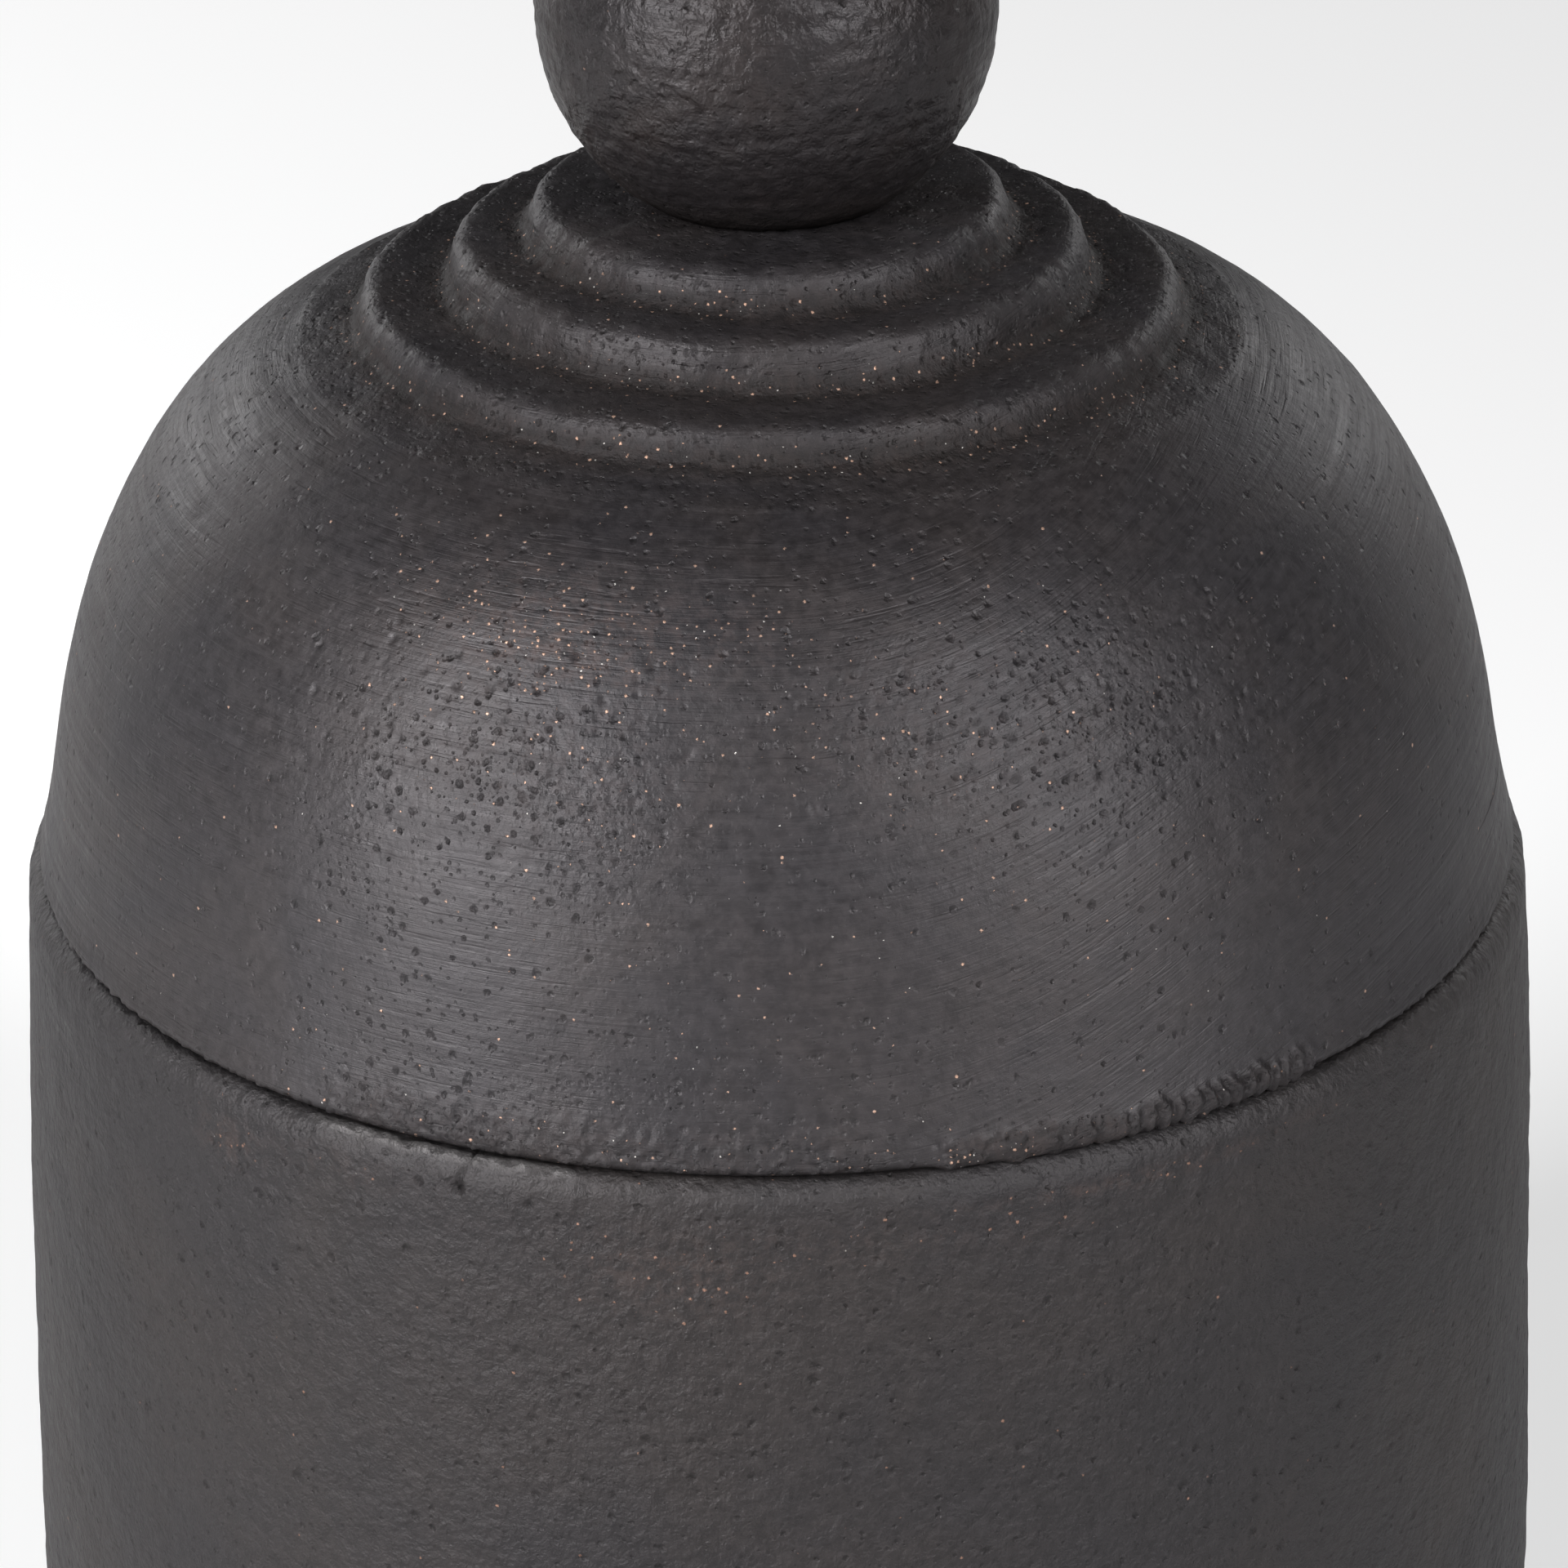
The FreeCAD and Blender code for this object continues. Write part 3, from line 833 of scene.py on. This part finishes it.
def ballSurface(point, normal):
    height = point.z - platformTop
    inBore = math.hypot(point.x, point.y) < 3.2 and height < 14.6
    if height < 0.1 or inBore:
        return 0, 0, (0, 1, 0, 0, 0, 0)
    wrinkled = Vector((point.x / 2.6, point.y / 2.6, point.z / 0.7))
    rise = 0.08 * noise.noise(point / 7) + 0.08 * noise.noise(wrinkled) + 0.07 * noise.noise(point / 0.9)
    crust = easeStep(3.2, 0.3, height) * 0.8
    # the ball's foot gets painted shade, a painted contact shadow on the platform
    return rise, 0, (0, crust, 0.5 + 0.5 * noise.noise(point / 5), 0, 0, easeStep(0.9, 0.1, height))


def makeBall():
    form = bmesh.new()
    bmesh.ops.create_icosphere(form, subdivisions=ballShape["fineness"], radius=ballShape["radius"] * mm)
    centre = platformTop + ballShape["rise"]
    bmesh.ops.translate(form, verts=form.verts, vec=(0, 0, centre * mm))
    everything = form.verts[:] + form.edges[:] + form.faces[:]
    bmesh.ops.bisect_plane(form, geom=everything, dist=0.001 * mm, plane_co=(0, 0, platformTop * mm),
                           plane_no=(0, 0, -1), clear_outer=True)
    seat = [edge for edge in form.edges if len(edge.link_faces) == 1]
    bmesh.ops.create_circle(form, segments=ballShape["boreSides"], radius=ballShape["bore"] * mm,
                            matrix=Matrix.Translation((0, 0, platformTop * mm)))
    boreRing = [edge for edge in form.edges if not edge.link_faces]
    bmesh.ops.bridge_loops(form, edges=seat + boreRing)
    deep = bmesh.ops.extrude_edge_only(form, edges=boreRing)["geom"]
    moved = [item for item in deep if isinstance(item, bmesh.types.BMVert)]
    bmesh.ops.translate(form, verts=moved, vec=(0, 0, ballShape["boreDepth"] * mm))
    end = [edge for edge in form.edges if len(edge.link_faces) == 1]
    bmesh.ops.contextual_create(form, geom=end)
    bmesh.ops.recalc_face_normals(form, faces=form.faces)
    sculptCasting(form, ballSurface)
    return finishPiece(form, "ballKnob", knobIron, "lid", ["ball_knob"])


lidIron = makeIron("lidIron", lidFinish)
jarIron = makeIron("jarIron", jarFinish)
knobIron = makeIron("knobIron", ballFinish)
makeLid()
makeHem()
makeJar()
makeLip()
makeBall()


def makePlatedSteel():
    material = bpy.data.materials.new("platedSteel")
    material.use_nodes = True
    tree = material.node_tree
    shader = tree.nodes["Principled BSDF"]
    here = place(tree, "ShaderNodeTexCoord").outputs["Object"]
    points = place(tree, "ShaderNodeVectorMath", {0: here, "Scale": 1 / mm}, operation="SCALE").outputs[0]
    spangle = noiseAt(tree, points, 0.9, 4.0, 0.6)
    zinc = blend(tree, spread(tree, spangle, 0.3, 0.7), (0.46, 0.46, 0.45, 1), (0.62, 0.61, 0.57, 1))
    tree.links.new(zinc, shader.inputs["Base Color"])
    tree.links.new(spread(tree, spangle, 0.25, 0.75, 0.26, 0.46), shader.inputs["Roughness"])
    shader.inputs["Metallic"].default_value = 1.0
    turned = noiseAt(tree, stretched(tree, points, (0.4, 0.4, 9.0)), 1.0, 2.0)
    bump = place(tree, "ShaderNodeBump", {"Height": turned, "Strength": 0.25, "Distance": 0.02 * mm})
    tree.links.new(bump.outputs["Normal"], shader.inputs["Normal"])
    return material


def makeRubber(name, dark, light, smooth, rough, depth):
    material = bpy.data.materials.new(name)
    material.use_nodes = True
    tree = material.node_tree
    shader = tree.nodes["Principled BSDF"]
    here = place(tree, "ShaderNodeTexCoord").outputs["Object"]
    points = place(tree, "ShaderNodeVectorMath", {0: here, "Scale": 1 / mm}, operation="SCALE").outputs[0]
    dust = noiseAt(tree, points, 0.7, 4.0, 0.65)
    tree.links.new(blend(tree, spread(tree, dust, 0.35, 0.7), dark, light), shader.inputs["Base Color"])
    tree.links.new(spread(tree, dust, 0.3, 0.7, smooth, rough), shader.inputs["Roughness"])
    skin = noiseAt(tree, points, 4.5, 3.0, 0.6)
    bump = place(tree, "ShaderNodeBump", {"Height": skin, "Strength": 0.5, "Distance": depth * mm})
    tree.links.new(bump.outputs["Normal"], shader.inputs["Normal"])
    return material


def dressNode(node, material):
    for slot in node.material_slots:
        slot.material = material


studShape = {"radius": 3.0, "pitch": 1.0, "threadDepth": 0.55, "chamfer": 0.6, "turns": 40, "step": 0.125}


def makeStud(material):
    low, high = (corner[2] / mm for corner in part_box("knob_stud"))
    radius, chamfer = studShape["radius"], studShape["chamfer"]
    shank = straightRun((radius, low + chamfer), (radius, high - chamfer), studShape["step"])
    outline = [(0, low), (radius - chamfer, low)] + shank + [(radius - chamfer, high), (0, high)]
    form = turnOnLathe(outline, studShape["turns"])
    for vert in form.verts:
        reach = math.hypot(vert.co.x, vert.co.y) / mm
        if reach < radius - chamfer - 0.01 or not low + 0.3 < vert.co.z / mm < high - 0.3:
            continue
        turn = math.atan2(vert.co.y, vert.co.x) / math.tau
        phase = (vert.co.z / mm / studShape["pitch"] - turn) % 1
        depth = studShape["threadDepth"] * min(1, max(0, abs(phase - 0.5) * 2.6 - 0.25))
        vert.co.xy *= (reach - depth) / reach
    return finishPiece(form, "knobStudThread", material, "lid", ["knob_stud"], crease=80)


sealShape = {"inner": 43.72, "outer": 45.0, "lip": 0.38, "lips": 3, "rows": 28, "turns": 300}


def makeSeal(material):
    # a band with three soft lips that press on the jar's mouth
    low, high = (corner[2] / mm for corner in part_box("lid_seal_ring"))
    inner, outer, lip = sealShape["inner"], sealShape["outer"], sealShape["lip"]
    face = []
    for step in range(sealShape["rows"] + 1):
        t = step / sealShape["rows"]
        ridge = abs(math.sin(math.pi * sealShape["lips"] * t)) ** 0.8
        face.append((outer - 0.05 + lip * ridge, low + 0.12 + (high - low - 0.24) * t))
    outline = [(inner, low + 0.15), (inner + 0.15, low), (outer - 0.2, low)] + face
    outline += [(outer - 0.2, high), (inner + 0.15, high), (inner, high - 0.15), (inner, (low + high) / 2)]
    form = turnOnLathe(outline, sealShape["turns"])
    return finishPiece(form, "lidSealLips", material, "seal", ["lid_seal_ring"], crease=60)


padShape = {"segments": 64, "edge": 0.45, "rim": 1.6, "dish": 0.25}


def makePads(material):
    for number in range(1, 5):
        node = f"foot_pad_{number}"
        low, high = (Vector(corner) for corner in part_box(node))
        middle = (low + high) / 2
        radius = (high.x - low.x) / 2
        form = bmesh.new()
        bmesh.ops.create_cone(form, cap_ends=True, segments=padShape["segments"], radius1=radius,
                              radius2=radius, depth=high.z - low.z, matrix=Matrix.Translation(middle))
        rims = [edge for edge in form.edges if abs(edge.verts[0].co.z - edge.verts[1].co.z) < 0.1 * mm]
        bmesh.ops.bevel(form, geom=rims, offset=padShape["edge"] * mm, segments=4, profile=0.5,
                        affect="EDGES", material=-1)
        soles = [face for face in form.faces if face.normal.z < -0.99]
        bmesh.ops.inset_individual(form, faces=soles, thickness=padShape["rim"] * mm,
                                   depth=-padShape["dish"] * mm)
        bmesh.ops.recalc_face_normals(form, faces=form.faces)
        finishPiece(form, f"footPad{number}", material, "jar", [node], crease=40)


platedSteel = makePlatedSteel()
sealSilicone = makeRubber("sealSilicone", (0.50, 0.50, 0.48, 1), (0.60, 0.60, 0.58, 1), 0.34, 0.46, 0.03)
padRubber = makeRubber("padRubber", (0.016, 0.016, 0.016, 1), (0.034, 0.033, 0.032, 1), 0.62, 0.8, 0.06)
for name in ("knob_washer", "knob_lock_washer", "knob_nut"):
    dressNode(cadNodes[name], platedSteel)
makeStud(platedSteel)
makeSeal(sealSilicone)
makePads(padRubber)
print("fastening, seal and pads finished")


studio = {
    "floorSize": 14.0,
    # the floor's colour, paler at the left and darker at the right: a painted fall of light
    "leftFloorPaintedLight": (0.82, 0.82, 0.82, 1), "rightFloorPaintedShade": (0.60, 0.60, 0.605, 1),
    # how much the sweep behind the jar glows to the camera, left and right: painted light
    "leftPaintedGlow": 0.38, "rightPaintedGlow": 0.29, "backdrop": 0.86,
    # the air's brightness low down on the left and right, and overhead
    "leftAir": 0.92, "rightAir": 0.30, "overhead": 0.66,
    # bearing, height angle, distance, width, height, watts
    "leftBox": (-49, 22, 1.1, 0.38, 0.80, 20.5),
    "rightBox": (42, 27, 1.1, 0.24, 0.72, 12.0),
    "leftBackBox": (-140, 13, 1.5, 0.8, 0.5, 5.0),
    "rightBackBox": (142, 13, 1.5, 0.8, 0.5, 3.5),
}


def makeFloor():
    form = bmesh.new()
    bmesh.ops.create_grid(form, x_segments=8, y_segments=8, size=studio["floorSize"] / 2)
    mesh = bpy.data.meshes.new("studioFloor")
    form.to_mesh(mesh)
    form.free()
    material = bpy.data.materials.new("floorPaint")
    material.use_nodes = True
    tree = material.node_tree
    shader = tree.nodes["Principled BSDF"]
    here = place(tree, "ShaderNodeTexCoord").outputs["Object"]
    # painted light: the floor's colour runs from pale at the left to darker at the right
    across = place(tree, "ShaderNodeSeparateXYZ", {"Vector": here}).outputs[0]
    drift = sums(tree, "MULTIPLY_ADD", noiseAt(tree, here, 1.4, 2.0), 0.1, across)
    shade = blend(tree, spread(tree, drift, -0.6, 0.7), studio["leftFloorPaintedLight"], studio["rightFloorPaintedShade"])
    tree.links.new(shade, shader.inputs["Base Color"])
    # the sweep glows a little to the eye only, brighter at the left, so the iron's reflections stay dark:
    # painted light
    seen = place(tree, "ShaderNodeLightPath").outputs["Is Camera Ray"]
    glow = spread(tree, across, -0.16, 0.16, studio["leftPaintedGlow"], studio["rightPaintedGlow"])
    tree.links.new(sums(tree, "MULTIPLY", glow, seen), shader.inputs["Emission Strength"])
    shader.inputs["Emission Color"].default_value = (1, 1, 1, 1)
    shader.inputs["Roughness"].default_value = 0.85
    mesh.materials.append(material)
    floor = bpy.data.objects.new("studioFloor", mesh)
    bpy.context.scene.collection.objects.link(floor)


def hangSoftbox(name, angle, lift, distance, width, height, watts):
    aim = Vector((0, 0, 0.1))
    turn, rise = math.radians(angle), math.radians(lift)
    away = Vector((math.sin(turn) * math.cos(rise), -math.cos(turn) * math.cos(rise), math.sin(rise)))
    lamp = bpy.data.lights.new(name, "AREA")
    lamp.shape = "RECTANGLE"
    lamp.size, lamp.size_y, lamp.energy = width, height, watts
    box = bpy.data.objects.new(name, lamp)
    box.location = aim + away * distance
    box.rotation_euler = away.to_track_quat("Z", "Y").to_euler()
    box.visible_camera = False
    bpy.context.scene.collection.objects.link(box)


def makeAir():
    world = bpy.data.worlds.new("studioAir")
    bpy.context.scene.world = world
    world.use_nodes = True
    tree = world.node_tree
    ways = place(tree, "ShaderNodeSeparateXYZ", {
        "Vector": place(tree, "ShaderNodeTexCoord").outputs["Generated"],
    }).outputs
    level = spread(tree, ways[0], -0.9, 0.9, studio["leftAir"], studio["rightAir"])
    lifted = spread(tree, ways[2], 0.25, 0.85)
    lit = place(tree, "ShaderNodeMix", {0: lifted, 2: level, 3: studio["overhead"]}).outputs[0]
    seen = place(tree, "ShaderNodeLightPath").outputs["Is Camera Ray"]
    strength = place(tree, "ShaderNodeMix", {0: seen, 2: lit, 3: studio["backdrop"]}).outputs[0]
    tree.links.new(strength, tree.nodes["Background"].inputs["Strength"])


viewpoint = {
    "place": (0.00005, -0.35855, 0.26932),
    "downTilt": 25.9917, "yaw": -0.0726, "roll": -0.6992,
    "lens": 136.706, "sensor": 36,
}


def makeCamera():
    lens = bpy.data.cameras.new("jarCamera")
    lens.lens = viewpoint["lens"]
    lens.sensor_width = viewpoint["sensor"]
    lens.clip_start, lens.clip_end = 0.01, 20
    camera = bpy.data.objects.new("jarCamera", lens)
    turned = Matrix.Rotation(math.radians(viewpoint["yaw"]), 4, "Z")
    tipped = Matrix.Rotation(math.radians(90 - viewpoint["downTilt"]), 4, "X")
    rolled = Matrix.Rotation(math.radians(viewpoint["roll"]), 4, "Z")
    camera.matrix_world = Matrix.Translation(viewpoint["place"]) @ turned @ tipped @ rolled
    bpy.context.scene.collection.objects.link(camera)
    bpy.context.scene.camera = camera


makeFloor()
makeAir()
for name in ("leftBox", "rightBox", "leftBackBox", "rightBackBox"):
    hangSoftbox(name, *studio[name])
makeCamera()
bpy.context.scene.view_settings.view_transform = "Standard"
print("studio ready")
